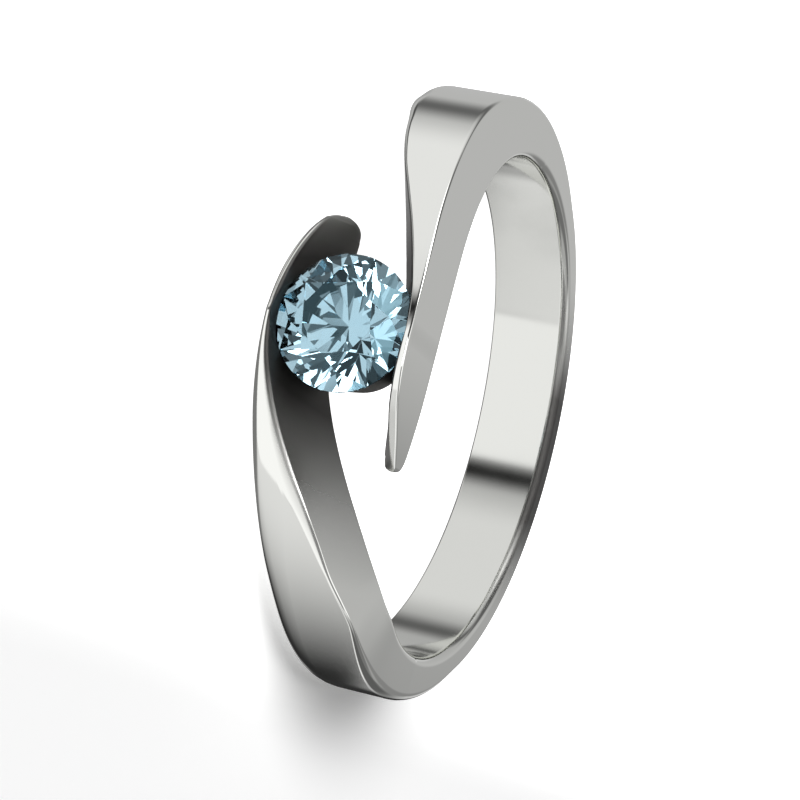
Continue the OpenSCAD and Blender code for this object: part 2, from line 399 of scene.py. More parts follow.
# %% Table of the edges
CUT_LONG, CUT_DEEP, SIDE_LONG, SIDE_DEEP, CUT_BORE, SIDE_BORE = range(1, 7)
NEAR_EDGES = [
    # turn, cut edge long and deep, side edge long and deep, finger hole at the cut and at the side
    [-30, 0.05, 0.05, 0.05, 0.05, 0.05, 0.05],
    [-10, 0.07, 0.06, 0.07, 0.07, 0.06, 0.06],
    [30, 0.10, 0.08, 0.12, 0.10, 0.06, 0.10],
    [40, 0.16, 0.13, 0.15, 0.12, 0.06, 0.14],
    [47, 0.32, 0.28, 0.17, 0.13, 0.06, 0.16],
    [54, 0.56, 0.46, 0.18, 0.14, 0.06, 0.18],
    [62, 0.44, 0.34, 0.18, 0.14, 0.06, 0.22],
    [70, 0.38, 0.27, 0.20, 0.15, 0.06, 0.26],
    [80, 0.46, 0.32, 0.30, 0.18, 0.06, 0.30],
    [95, 0.60, 0.42, 0.40, 0.26, 0.06, 0.30],
    [135, 0.55, 0.34, 0.46, 0.30, 0.06, 0.30],
    [180, 0.50, 0.30, 0.50, 0.30, 0.06, 0.30],
]
FAR_EDGES = [
    [-30, 0.05, 0.05, 0.05, 0.05, 0.05, 0.05],
    [-10, 0.12, 0.06, 0.20, 0.10, 0.06, 0.05],
    [5, 0.40, 0.10, 0.60, 0.18, 0.08, 0.06],
    [25, 0.66, 0.13, 1.00, 0.22, 0.09, 0.06],
    [33, 0.37, 0.10, 0.95, 0.24, 0.09, 0.06],
    [42, 0.11, 0.08, 0.80, 0.26, 0.10, 0.06],
    [52, 0.10, 0.08, 0.75, 0.32, 0.14, 0.06],
    [62, 0.26, 0.20, 0.72, 0.36, 0.22, 0.06],
    [74, 0.42, 0.32, 0.72, 0.38, 0.28, 0.06],
    [92, 0.50, 0.34, 0.70, 0.40, 0.30, 0.06],
    [135, 0.50, 0.30, 0.60, 0.34, 0.30, 0.06],
    [180, 0.50, 0.30, 0.50, 0.30, 0.30, 0.06],
]

print("rows of the edge tables:", len(NEAR_EDGES) + len(FAR_EDGES))

# %% [markdown]
# ## Room for the roundings
#
# Two roundings on one face must not run into each other. Where they would, both get
# smaller by the same share, and a narrow flat stays between them.

# %% Reach of the roundings
MOST_OF_A_SIDE = 0.9


def edge_size(rows, turn, column):
    """One column of an edge table, read along straight lines between its rows."""
    for start, end in zip(rows, rows[1:]):
        if turn <= end[TURN]:
            share = max(0, turn - start[TURN]) / (end[TURN] - start[TURN])
            return start[column] + (end[column] - start[column]) * share
    return rows[-1][column]


def edge_rounding(rows, corner):
    """For each corner, the reach of its rounding across the section and along its height."""
    middle = (corner[0] + corner[1]) / 2
    turn = -math.degrees(math.atan2(middle.x, -middle.y))
    at_cut, at_side = edge_size(rows, turn, CUT_BORE), edge_size(rows, turn, SIDE_BORE)
    sizes = [
        [at_cut, at_cut],
        [edge_size(rows, turn, CUT_DEEP), edge_size(rows, turn, CUT_LONG)],
        [edge_size(rows, turn, SIDE_DEEP), edge_size(rows, turn, SIDE_LONG)],
        [at_side, at_side],
    ]
    for a, b, axis in ((0, 1, 0), (3, 2, 0), (0, 3, 1), (1, 2, 1)):
        room = MOST_OF_A_SIDE * (corner[b] - corner[a]).length / (sizes[a][axis] + sizes[b][axis])
        for k in (a, b):
            sizes[k][axis] *= min(1, room)
    return sizes


print("roundings near the head:", edge_rounding(NEAR_EDGES, at_head))

# %% [markdown]
# ## Bending the bar
#
# A plain ring is bent from a straight bar, and so is this mesh. A cube serves as the bar.
# Its long edges are rounded with a bevel, and loops are added along its flats and across
# its length, so that there are points enough for a smooth bend.

# %% Straight bar
SLICES = 600
TIP_SLICES = 56
CORNER = 0.25
ROUND_STEPS = 8
FLAT_CUTS = 5


def is_long(edge):
    """Whether an edge of the bar runs from one of its ends to the other."""
    return abs((edge.verts[0].co - edge.verts[1].co).x) > 0.5


def straight_bar():
    """A square bar along X with rounded long edges and open ends."""
    bm = bmesh.new()
    bmesh.ops.create_cube(bm, size=1)
    along = [e for e in bm.edges if is_long(e)]
    bmesh.ops.bevel(bm, geom=along, offset=CORNER, offset_type="OFFSET", affect="EDGES",
                    segments=ROUND_STEPS, profile=0.5, material=-1)
    ends = [f for f in bm.faces if abs(f.normal.x) > 0.5]
    bmesh.ops.delete(bm, geom=ends, context="FACES_ONLY")
    flats = [e for e in bm.edges if not is_long(e) and e.calc_length() > CORNER]
    bmesh.ops.subdivide_edges(bm, edges=flats, cuts=FLAT_CUTS, use_grid_fill=True)
    along = [e for e in bm.edges if is_long(e)]
    bmesh.ops.subdivide_edges(bm, edges=along, cuts=SLICES - 1, use_grid_fill=True)
    return bm


print("loops along the bar:", 4 * (ROUND_STEPS + FLAT_CUTS + 1))

# %% [markdown]
# ## From the bar to a slice
#
# Each point of the bar's section is carried to its slice of the ring. A point of a flat
# goes straight across, with a loop kept close to both of its ends. A point of a rounding
# is placed by the way it faces. So the turn from one face to the next is shared
# evenly by its steps, however flat the rounding is, and a highlight runs over it
# without a kink.

# %% Points of a slice
CORNER_AT = {(True, True): 0, (False, True): 1, (False, False): 2, (True, False): 3}
ACROSS_FROM = {0: 1, 1: 0, 2: 3, 3: 2}
ABOVE_FROM = {0: 3, 1: 2, 2: 1, 3: 0}
NEARLY = 1e-5
LOOP_NEAR = 0.06
LOOP_MOST = 0.2


def on_flat(a, b, reach_a, reach_b, s):
    """A point between two rounded corners, with loops kept close to both of them."""
    length = (b - a).length
    support = 1 / (FLAT_CUTS + 1)
    start, end = reach_a / length, 1 - reach_b / length
    lip = min(LOOP_NEAR * max(reach_a, reach_b) / length, LOOP_MOST * (end - start))
    if s < support:
        share = start + lip * s / support
    elif s > 1 - support:
        share = end - lip * (1 - s) / support
    else:
        share = start + lip + (end - start - 2 * lip) * (s - support) / (1 - 2 * support)
    return a.lerp(b, share)


def on_rounding(u, v, k, corner, sizes):
    """A point of the rounded corner k, placed by the way it faces."""
    across, up = sizes[k]
    share_u = min(u, 1 - u) / CORNER
    share_v = min(v, 1 - v) / CORNER
    facing = math.atan2(1 - share_v, 1 - share_u)
    swing = math.atan2(up * math.sin(facing), across * math.cos(facing))
    toward_u = (corner[ACROSS_FROM[k]] - corner[k]).normalized()
    toward_v = (corner[ABOVE_FROM[k]] - corner[k]).normalized()
    return corner[k] + toward_u * across * (1 - math.cos(swing)) + toward_v * up * (1 - math.sin(swing))


def on_slice(u, v, corner, sizes):
    """Carries a point of the unit section to a slice with the given corners."""
    low_u, high_u = u <= CORNER + NEARLY, u >= 1 - CORNER - NEARLY
    low_v, high_v = v <= CORNER + NEARLY, v >= 1 - CORNER - NEARLY
    if (low_u or high_u) and (low_v or high_v):
        return on_rounding(u, v, CORNER_AT[(low_u, low_v)], corner, sizes)
    if low_v or high_v:
        s = (u - CORNER) / (1 - 2 * CORNER)
        a, b = (0, 1) if low_v else (3, 2)
        return on_flat(corner[a], corner[b], sizes[a][0], sizes[b][0], s)
    s = (v - CORNER) / (1 - 2 * CORNER)
    a, b = (0, 3) if low_u else (1, 2)
    return on_flat(corner[a], corner[b], sizes[a][1], sizes[b][1], s)


print("a point near the head:", on_slice(0.5, 1, at_head, edge_rounding(NEAR_EDGES, at_head)))

# %% [markdown]
# ## The nose of a tip
#
# Seen from above the stone, a tip ends in a small round that was filed from the cut face.
# So only the low side of each slice is lifted to the nose's curve, and the side face
# stays as it is.

# %% Nose
NOSE_SOFT = 0.06
THINNEST_NOSE = 0.2 * THINNEST_LIP


def round_nose(point, tip, corner):
    """Lifts the low side of a tip to the nose's curve, and leaves its high side."""
    in_low, out_low, out_high, in_high = corner
    if point.x < tip["end_x"] - tip["nose_r"] or point.y > 0:
        return
    share = max(0, min(1, (point.y - in_low.y) / (out_low.y - in_low.y)))
    low = in_low.z + (out_low.z - in_low.z) * share
    high = in_high.z + (out_high.z - in_high.z) * share
    lifted = min(smooth_max(low, nose_height(tip, point.x), NOSE_SOFT), high - THINNEST_NOSE)
    point.z = high - (high - point.z) * (high - lifted) / (high - low)


print("the noses have radii of", NEAR_TIP["nose_r"], "and", FAR_TIP["nose_r"], "mm")

# %% [markdown]
# ## The whole band
#
# One bar makes the whole ring. Its middle becomes the back, and its two ends become the
# tips. The far half is made just like the near one and then turned half round the
# stone's axis. At both ends the last loop is drawn together, which closes the skin.

# %% Bend the bar
def bent_band():
    """A bar bent from the near tip round the back to the far tip, closed at both ends."""
    bm = straight_bar()
    body_share = 1 - TIP_SLICES / (SLICES / 2)
    half = SLICES / 2
    slices = {}
    ends = {0: [], SLICES: []}
    for vert in bm.verts:
        place = round((vert.co.x + 0.5) * SLICES)
        near = place <= half
        tip = NEAR_TIP if near else FAR_TIP
        if place not in slices:
            corner = slice_at(tip, abs(1 - place / half), body_share)
            slices[place] = (corner, edge_rounding(NEAR_EDGES if near else FAR_EDGES, corner))
        corner, sizes = slices[place]
        u, v = vert.co.y + 0.5, vert.co.z + 0.5
        point = on_slice(u, v if near else 1 - v, corner, sizes)
        round_nose(point, tip, corner)
        vert.co = point if near else Vector((-point.x, point.y, -point.z))
        if place in ends:
            ends[place].append(vert)
    for rim in ends.values():
        middle = sum((vert.co for vert in rim), Vector()) / len(rim)
        bmesh.ops.pointmerge(bm, verts=rim, merge_co=middle)
    bmesh.ops.recalc_face_normals(bm, faces=bm.faces)
    return bm


band_mesh = bent_band()
open_edges = [e for e in band_mesh.edges if not e.is_manifold]
print("band:", len(band_mesh.verts), "points,", len(open_edges), "open edges")

# %% [markdown]
# ## The cup
#
# The stone sits in a small cone with a hole through its foot. The cone is soldered
# between the arms, and its foot is filed flush with the finger hole. The seat that
# carries the stone has the slope of the stone's own lower facets, so that metal and
# stone lie close together all round.

# %% Sizes of the cup and its seat
CUP_RIM_R = 2.12
CUP_FOOT_R = 1.68
CUP_HOLE_R = 1.25
CUP_LIP = 0.10
CUP_CORE = 1.0
CUP_RIM_DROP = 0.25
SEAT_GAP = 0.03
STONE_R = 2.2
GIRDLE_H = 10.95
GIRDLE_T = 0.12
PAVILION_ANGLE = math.radians(41)
CUP_RIM_H = GIRDLE_H - CUP_RIM_DROP


def seat_height(r):
    """Height of the seat's cone at a radius."""
    return GIRDLE_H - GIRDLE_T / 2 - (STONE_R + SEAT_GAP - r) * math.tan(PAVILION_ANGLE)


print(f"the seat is {GIRDLE_H - seat_height(CUP_HOLE_R):.2f} mm deep")

# %% [markdown]
# ## Round pieces
#
# The cup is turned on a lathe, and the burr that cuts the seat is round as well. So both
# are an outline spun about the stone's axis. The foot of the cup then follows the
# round of the finger hole.

# %% Spin the cup and the burr
STONE_AXIS = Matrix.Rotation(math.pi / 2, 4, "X")
SPIN_STEPS = 96
SAME_POINT = 0.0005
FOOT_LIFT = 0.01
BURR_TOP = GIRDLE_H + 3
BURR_LAP = 0.05


def spun(profile):
    """A closed outline of (radius, height) points spun round the stone's axis."""
    bm = bmesh.new()
    points = [bm.verts.new((r, 0, h)) for r, h in profile]
    edges = [bm.edges.new((points[i], points[(i + 1) % len(points)])) for i in range(len(points))]
    bmesh.ops.spin(bm, geom=points + edges, cent=(0, 0, 0), axis=(0, 0, 1), angle=2 * math.pi,
                   steps=SPIN_STEPS, use_merge=True)
    bmesh.ops.remove_doubles(bm, verts=bm.verts, dist=SAME_POINT)
    bmesh.ops.recalc_face_normals(bm, faces=bm.faces)
    return bm


cup_bm = spun([
    (CUP_HOLE_R, bore_r - CUP_CORE), (CUP_FOOT_R, bore_r - CUP_CORE), (CUP_RIM_R, CUP_RIM_H),
    (CUP_RIM_R - CUP_LIP, seat_height(CUP_RIM_R - CUP_LIP)),
    (CUP_HOLE_R, seat_height(CUP_HOLE_R)),
])
for vert in cup_bm.verts:
    if vert.co.z < bore_r - CUP_CORE / 2:
        vert.co.z = math.sqrt(bore_r**2 - vert.co.x**2) + FOOT_LIFT
bmesh.ops.transform(cup_bm, matrix=STONE_AXIS, verts=cup_bm.verts)

seat_in, seat_out = CUP_HOLE_R - BURR_LAP, STONE_R + SEAT_GAP
seat_bm = spun([
    (seat_in, seat_height(seat_in)), (seat_out, seat_height(seat_out)),
    (seat_out, BURR_TOP), (seat_in, BURR_TOP),
])
bmesh.ops.holes_fill(seat_bm, edges=[e for e in seat_bm.edges if e.is_boundary])
bmesh.ops.transform(seat_bm, matrix=STONE_AXIS, verts=seat_bm.verts)
print("cup:", len(cup_bm.faces), "faces, burr:", len(seat_bm.faces), "faces")

# %% [markdown]
# ## Solder and seat
#
# Solder makes the band and the cup one piece, and the setter then cuts the stone's
# seat into the arms with a round burr. Two exact Boolean modifiers do the same.

# %% Join the cup and cut the seat
SOLDERED = 0.0001


def worked(body, tools):
    """The body after each tool has been joined to it or cut from it, as a new bmesh."""
    for tool, operation in tools:
        step = body.modifiers.new(operation.lower(), "BOOLEAN")
        step.operation = operation
        step.solver = "EXACT"
        step.object = tool
    seen = bpy.context.evaluated_depsgraph_get()
    bm = bmesh.new()
    bm.from_object(body, seen)
    for thing in [body] + [tool for tool, operation in tools]:
        bpy.data.meshes.remove(thing.data)
    return bm


metal_bm = worked(
    as_object(band_mesh, "bar"),
    [(as_object(cup_bm, "cup"), "UNION"), (as_object(seat_bm, "seat"), "DIFFERENCE")],
)
bmesh.ops.remove_doubles(metal_bm, verts=metal_bm.verts, dist=SOLDERED)
open_edges = [e for e in metal_bm.edges if not e.is_manifold]
print("soldered:", len(metal_bm.faces), "faces,", len(open_edges), "open edges")

# %% [markdown]
# ## Polished white metal
#
# The outside is polished to a mirror, but no polish is quite even. It has faint clouds,
# and the cloth wheel leaves fine marks that run round the ring. Both are noise, and for
# the marks its pattern is squeezed along the finger. They come from one group, which
# would do for any polished ring.

# %% Polish group
MARK_SQUEEZE = 14


def polish_group():
    """Shader group with the cloudy wear of a polish and its fine wheel marks."""
    group = bpy.data.node_groups.new("polish", "ShaderNodeTree")
    group.interface.new_socket("Place", in_out="INPUT", socket_type="NodeSocketVector")
    group.interface.new_socket("Cloud size", in_out="INPUT", socket_type="NodeSocketFloat")
    group.interface.new_socket("Clouds", in_out="OUTPUT", socket_type="NodeSocketFloat")
    group.interface.new_socket("Marks", in_out="OUTPUT", socket_type="NodeSocketFloat")
    nodes, links = group.nodes, group.links
    given = nodes.new("NodeGroupInput")
    result = nodes.new("NodeGroupOutput")
    clouds = nodes.new("ShaderNodeTexNoise")
    clouds.inputs["Detail"].default_value = 3
    links.new(given.outputs["Place"], clouds.inputs["Vector"])
    links.new(given.outputs["Cloud size"], clouds.inputs["Scale"])
    links.new(clouds.outputs["Fac"], result.inputs["Clouds"])
    stretch = nodes.new("ShaderNodeMapping")
    stretch.inputs["Scale"].default_value = (1, 1, MARK_SQUEEZE)
    links.new(given.outputs["Place"], stretch.inputs["Vector"])
    marks = nodes.new("ShaderNodeTexNoise")
    marks.inputs["Scale"].default_value = 6
    marks.inputs["Detail"].default_value = 2
    links.new(stretch.outputs["Vector"], marks.inputs["Vector"])
    links.new(marks.outputs["Fac"], result.inputs["Marks"])
    return group


polish = polish_group()
outputs = [item.name for item in polish.interface.items_tree if item.in_out == "OUTPUT"]
print("polish group puts out", outputs)

# %% [markdown]
# ## Reading the place
#
# The finish is not the same all over the ring, so the material has to know where a point
# is. The first helper turns a point back to the ring's own millimetres, and the others
# measure it there.

# %% Helpers that measure
def ring_place(tree):
    """A vector output with the point's place in the ring's own millimetres."""
    coords = tree.nodes.new("ShaderNodeTexCoord")
    back = tree.nodes.new("ShaderNodeMapping")
    lift = lay_down.inverted()
    back.inputs["Location"].default_value = lift.translation
    back.inputs["Rotation"].default_value = (rest_tilt, 0, 0)
    back.inputs["Scale"].default_value = (1 / MM, 1 / MM, 1 / MM)
    tree.links.new(coords.outputs["Object"], back.inputs["Vector"])
    return back.outputs["Vector"]


def split(tree, vector):
    """The three coordinates of a vector."""
    parts = tree.nodes.new("ShaderNodeSeparateXYZ")
    tree.links.new(vector, parts.inputs["Vector"])
    return parts.outputs


def length_of(tree, place, keep):
    """Distance of a place from an axis: keep has a zero along the axis."""
    flat = tree.nodes.new("ShaderNodeVectorMath")
    flat.operation = "MULTIPLY"
    flat.inputs[1].default_value = keep
    tree.links.new(place, flat.inputs[0])
    distance = tree.nodes.new("ShaderNodeVectorMath")
    distance.operation = "LENGTH"
    tree.links.new(flat.outputs["Vector"], distance.inputs[0])
    return distance.outputs["Value"]


def size_along(tree, vector, axis):
    """The size of one coordinate of a vector, without its sign."""
    node = tree.nodes.new("ShaderNodeMath")
    node.operation = "ABSOLUTE"
    tree.links.new(split(tree, vector)[axis], node.inputs[0])
    return node.outputs["Value"]


print(f"materials see the ring turned back by {math.degrees(rest_tilt):.2f} degrees")

# %% [markdown]
# ## Masks
#
# A mask is a value between nothing and one that says where a finish lies. A measure
# becomes a mask with soft borders, masks are put together by their product or by the
# larger one, and a mask mixes two colours.

# %% Helpers for masks
def map_range(tree, value, start, end, low, high, kind="LINEAR"):
    """A Map Range node's output, from start..end to low..high."""
    node = tree.nodes.new("ShaderNodeMapRange")
    node.interpolation_type = kind
    tree.links.new(value, node.inputs["Value"])
    for socket, number in (("From Min", start), ("From Max", end), ("To Min", low), ("To Max", high)):
        node.inputs[socket].default_value = number
    return node.outputs["Result"]


def pair(tree, operation, first, second):
    """A Math node's output for two values."""
    node = tree.nodes.new("ShaderNodeMath")
    node.operation = operation
    tree.links.new(first, node.inputs[0])
    tree.links.new(second, node.inputs[1])
    return node.outputs["Value"]


def times(tree, first, second):
    """The product of two values."""
    return pair(tree, "MULTIPLY", first, second)


def larger(tree, first, second):
    """The larger of two values."""
    return pair(tree, "MAXIMUM", first, second)


def blend(tree, factor, first, second):
    """A mix of two colours. The first may also come from another node."""
    node = tree.nodes.new("ShaderNodeMix")
    node.data_type = "RGBA"
    tree.links.new(factor, node.inputs["Factor"])
    if isinstance(first, tuple):
        node.inputs["A"].default_value = first
    else:
        tree.links.new(first, node.inputs["A"])
    node.inputs["B"].default_value = second
    return node.outputs["Result"]


print("helpers for masks are ready")

# %% [markdown]
# ## Matt and shaded places
#
# A wheel can't reach everywhere. The cup and its seat, the cut faces beside the stone and
# the round ends of the tips stay matt from the burr and the file. Their colour is also painted
# nearly black as shade: the shade of the seat, of the gap between the arms and of the tip ends,
# so that the stone stands out before them. Each is a mask with soft borders. The cut faces
# are told from the side faces by the way they look: toward the ring's middle plane.

# %% Masks of the matt places and their painted shade
# Each pair gives the two ends of a soft border
SEAT_SIDE = (STONE_R - 0.05, STONE_R + 0.25)
SEAT_TOP = (GIRDLE_H + 0.45, GIRDLE_H + 0.62)
SEAT_BACK = (-bore_r + 0.1, -bore_r + 0.5)
CUT_STEEP = (0.12, 0.30)
CUT_FACING = (-0.4, -0.1)
CUT_BETWEEN = (HEAD_Z - 0.9, HEAD_Z - 0.7)
CUT_MATT_AND_SHADE = (2.7, 7.8)
NOSE_ALONG = (3.3, 3.6)
NOSE_PAST = (NEAR_TIP["end_x"] + 0.3, 5)
NOSE_BELOW = (HEAD_Z - 0.62, HEAD_Z - 0.44)
NOSE_ARM = (0.5, 1.5)
NOSE_BACK = (-bore_r + 1, -bore_r + 1.5)
NOSE_MATT_AND_SHADE = 0.6


def seat_mask(tree, place, from_finger_axis):
    """One in the cup and the seat under the stone, and nothing outside them."""
    under_stone = map_range(tree, length_of(tree, place, (1, 0, 1)), *SEAT_SIDE, 1, 0)
    below_top = map_range(tree, from_finger_axis, *SEAT_TOP, 1, 0)
    in_head = map_range(tree, split(tree, place)["Y"], *SEAT_BACK, 1, 0)
    return times(tree, times(tree, under_stone, below_top), in_head)


def cut_face_mask(tree, place):
    """One on the cut faces beside the stone, fading toward the shank."""
    normal = tree.nodes.new("ShaderNodeNewGeometry").outputs["Normal"]
    facing_up = map_range(tree, size_along(tree, normal, "Z"), *CUT_STEEP, 0, 1)
    outward = times(tree, split(tree, place)["Z"], split(tree, normal)["Z"])
    toward_middle = map_range(tree, outward, *CUT_FACING, 1, 0)
    below_flank = length_of(tree, place, (math.tan(FLARE_ANGLE), 0, 1))
    between_sides = map_range(tree, below_flank, *CUT_BETWEEN, 1, 0)
    near_stone = map_range(tree, length_of(tree, place, (1, 0, 1)), *CUT_MATT_AND_SHADE, 1, 0)
    return times(tree, times(tree, facing_up, larger(tree, toward_middle, between_sides)), near_stone)


def nose_mask(tree, place):
    """Part of the way to one on the round end faces of the two tips."""
    along = size_along(tree, place, "X")
    at_end = map_range(tree, along, *NOSE_ALONG, 0, NOSE_MATT_AND_SHADE)
    before_end = map_range(tree, along, *NOSE_PAST, 1, 0)
    below_side = map_range(tree, size_along(tree, place, "Z"), *NOSE_BELOW, 1, 0)
    sides = split(tree, place)
    on_a_tip = map_range(tree, times(tree, sides["X"], sides["Z"]), *NOSE_ARM, 0, 1)
    in_head = map_range(tree, sides["Y"], *NOSE_BACK, 1, 0)
    end_face = times(tree, times(tree, at_end, before_end), below_side)
    return times(tree, times(tree, end_face, on_a_tip), in_head)


print("matt cut faces end", CUT_MATT_AND_SHADE[1], "mm from the stone's axis")

# %% [markdown]
# ## The metal
#
# White gold is nearly colourless, with a trace of warmth. Inside the finger hole the
# wheel reaches less, so there the metal is a little less glossy, and its colour is painted a
# little darker as shade inside the hole. How far a point is from the finger axis says on which
# side of the band it lies. The matt places, with their painted shade, are mixed in last.

# %% White metal
OUTSIDE_COLOUR = (0.90, 0.905, 0.873, 1)
# Painted shade: inside the finger hole the colour is a little darker than outside
INSIDE_SHADE_COLOUR = (0.77, 0.775, 0.745, 1)
# Painted shade: the seat, the cut faces between the arms and the tip ends are coloured nearly black
PAINTED_SHADE_COLOUR = (0.085, 0.083, 0.08, 1)
INSIDE_TO = (bore_r + 0.02, bore_r + 0.22)
OUTSIDE_ROUGH = (0.035, 0.065)
INSIDE_ROUGH = 0.04
MATT_ROUGH = 0.42
CLOUD_SIZE = 0.55
CLOUD_RANGE = (0.3, 0.7)
MARK_DEPTH = 0.0000004


def white_metal():
    """Mirror polish outside, less glossy and painted darker as shade inside the finger hole, matt and
    painted dark as shade in the masks.
    """
    metal = bpy.data.materials.new("white_metal")
    metal.use_nodes = True
    tree = metal.node_tree
    shader = tree.nodes["Principled BSDF"]
    shader.inputs["Metallic"].default_value = 1
    place = ring_place(tree)
    from_finger_axis = length_of(tree, place, (1, 1, 0))
    inside = map_range(tree, from_finger_axis, *INSIDE_TO, 1, 0)
    colour = blend(tree, inside, OUTSIDE_COLOUR, INSIDE_SHADE_COLOUR)
    # These masks give the matt roughness and also paint shade into the colour
    matt_and_shade = larger(tree, seat_mask(tree, place, from_finger_axis), cut_face_mask(tree, place))
    matt_and_shade = larger(tree, matt_and_shade, nose_mask(tree, place))
    tree.links.new(blend(tree, matt_and_shade, colour, PAINTED_SHADE_COLOUR), shader.inputs["Base Color"])
    wear = tree.nodes.new("ShaderNodeGroup")
    wear.node_tree = polish
    wear.inputs["Cloud size"].default_value = CLOUD_SIZE
    tree.links.new(place, wear.inputs["Place"])
    outside_rough = map_range(tree, wear.outputs["Clouds"], *CLOUD_RANGE, *OUTSIDE_ROUGH)
    inside_rough = map_range(tree, inside, 0, 1, 0, INSIDE_ROUGH)
    polished = pair(tree, "ADD", outside_rough, inside_rough)
    rough = tree.nodes.new("ShaderNodeMath")
    rough.operation = "MULTIPLY_ADD"
    tree.links.new(matt_and_shade, rough.inputs[0])
    rough.inputs[1].default_value = MATT_ROUGH
    tree.links.new(polished, rough.inputs[2])
    tree.links.new(rough.outputs["Value"], shader.inputs["Roughness"])
    bump = tree.nodes.new("ShaderNodeBump")
    bump.inputs["Strength"].default_value = 0.5
    bump.inputs["Distance"].default_value = MARK_DEPTH
    tree.links.new(wear.outputs["Marks"], bump.inputs["Height"])
    tree.links.new(bump.outputs["Normal"], shader.inputs["Normal"])
    return metal


metal = white_metal()
print("white metal has", len(metal.node_tree.nodes), "nodes")

# %% [markdown]
# ## The finished band
#
# The band is laid down and shaded smooth. Only true creases stay sharp: the line of the
# solder, the rim of the seat and the foot of the cup.

# %% Finish the band
CREASE = math.radians(32)

band = finished(metal_bm, "band_polished", metal, True)
band.data.set_sharp_from_angle(angle=CREASE)
print("sharp edges at the solder and the seat:", sum(1 for e in band.data.edges if e.use_edge_sharp))

# %% [markdown]
# ## The stone
#
# A round brilliant has a flat table, slanting facets down to its girdle and longer ones
# below it that meet in a point. Their angles are chosen so that light which enters from
# above is thrown back up. This plan is the usual one, and a facet is given by three
# of its points.

# %% Plan of the cut
TABLE_SHARE = 0.54
CROWN_ANGLE = math.radians(34)
STAR_SHARE = 0.5
LOWER_SHARE = 0.77
STONE_TURN = math.radians(34)
MAINS = 8
HALF_MAIN = math.pi / MAINS
BLANK_T = 6
BLANK_SIDES = 64


def on_stone(turn, r, h):
    """A point of the stone by its turn, its radius and its height over the girdle."""
    return Vector((r * math.cos(turn), r * math.sin(turn), h))


print(f"girdle {2 * STONE_R} mm across, table {2 * TABLE_SHARE * STONE_R:.2f} mm")

# %% [markdown]
# ## Grinding
#
# The stone is ground facet by facet from a round blank, as a cutter does it. For each
# facet a bisect takes off what lies outside its plane. The order is the cutter's too:
# mains, then stars and halves, and the table last.

# %% Grind the stone
def grind(bm, a, b, c):
    """Takes off what lies outside the plane through three points, and closes the cut."""
    normal = (b - a).cross(c - a).normalized()
    if normal.dot(a) < 0:
        normal = -normal
    cut = bmesh.ops.bisect_plane(bm, geom=bm.verts[:] + bm.edges[:] + bm.faces[:], dist=1e-5,
                                 plane_co=a, plane_no=normal, clear_outer=True)
    edges = [g for g in cut["geom_cut"] if isinstance(g, bmesh.types.BMEdge)]
    if edges:
        bmesh.ops.contextual_create(bm, geom=edges)


def brilliant():
    """A round brilliant, ground facet by facet from a round blank."""
    half = GIRDLE_T / 2
    table_r = TABLE_SHARE * STONE_R
    flat_r = table_r * math.cos(HALF_MAIN)
    star_r = flat_r + STAR_SHARE * (STONE_R - flat_r)
    star_h = half + (STONE_R - star_r * math.cos(HALF_MAIN)) * math.tan(CROWN_ANGLE)
    top = half + (STONE_R - table_r) * math.tan(CROWN_ANGLE)
    lower_r = (1 - LOWER_SHARE) * STONE_R
    lower_h = -half - (STONE_R - lower_r * math.cos(HALF_MAIN)) * math.tan(PAVILION_ANGLE)
    culet = Vector((0, 0, -half - STONE_R * math.tan(PAVILION_ANGLE)))
    bm = bmesh.new()
    bmesh.ops.create_cone(bm, cap_ends=True, segments=BLANK_SIDES, radius1=STONE_R,
                          radius2=STONE_R, depth=BLANK_T)
    for k in range(MAINS):
        turn = 2 * k * HALF_MAIN
        vertex = on_stone(turn, table_r, top)
        star = on_stone(turn + HALF_MAIN, star_r, star_h)
        before = on_stone(turn - HALF_MAIN, star_r, star_h)
        grind(bm, vertex, star, before)
        tip = on_stone(turn + HALF_MAIN, lower_r, lower_h)
        tip_before = on_stone(turn - HALF_MAIN, lower_r, lower_h)
        grind(bm, culet, tip, tip_before)
    for k in range(MAINS):
        turn = 2 * k * HALF_MAIN
        star = on_stone(turn + HALF_MAIN, star_r, star_h)
        tip = on_stone(turn + HALF_MAIN, lower_r, lower_h)
        next_vertex = on_stone(turn + 2 * HALF_MAIN, table_r, top)
        grind(bm, on_stone(turn, table_r, top), next_vertex, star)
        for side in (0, 1):
            start, end = turn + side * HALF_MAIN, turn + (side + 1) * HALF_MAIN
            grind(bm, on_stone(start, STONE_R, half), on_stone(end, STONE_R, half), star)
            grind(bm, on_stone(start, STONE_R, -half), on_stone(end, STONE_R, -half), tip)
    grind(bm, *[on_stone(2 * k * HALF_MAIN, table_r, top) for k in range(3)])
    return bm


stone_bm = brilliant()
print("stone:", len(stone_bm.faces), "facets")

# %% [markdown]
# ## Setting the stone
#
# The stone is turned a little about its own axis, lifted to the height of its girdle and
# laid over, so that its table looks out of the head.

# %% Set the stone
set_in_cup = (
    STONE_AXIS
    @ Matrix.Translation((0, 0, GIRDLE_H))
    @ Matrix.Rotation(STONE_TURN, 4, "Z")
)
bmesh.ops.transform(stone_bm, matrix=set_in_cup, verts=stone_bm.verts)
print(f"the table lies {-min(v.co.y for v in stone_bm.verts):.2f} mm from the finger axis")

# %% [markdown]
# ## Aquamarine
#
# The stone is clear beryl. Its blue is faint, and it deepens with the way that
# light runs inside, so most of the colour is absorption in the body of the stone. Growth
# left it a little uneven, and a slow noise tints the surface by a few hundredths.
# Beryl has an index of 1.58. Seen at this angle, this cut would then let the eye
# through. The higher index here keeps it bright from edge to edge, and a tint on
# the outer shine brings that down again and turns the dark facets teal.

# %% Gem
GEM_LIGHT = (0.985, 0.995, 1.0, 1)
GEM_DEEP = (0.92, 0.97, 0.985, 1)
ZONE_SIZE = 0.45
ZONE_RANGE = (0.35, 0.65)
GEM_ABSORBS = (0.26, 0.64, 0.79, 1)
GEM_DENSITY = 200
STONE_IOR = 2.1
STONE_SHINE = (0.27, 0.50, 0.60, 1)


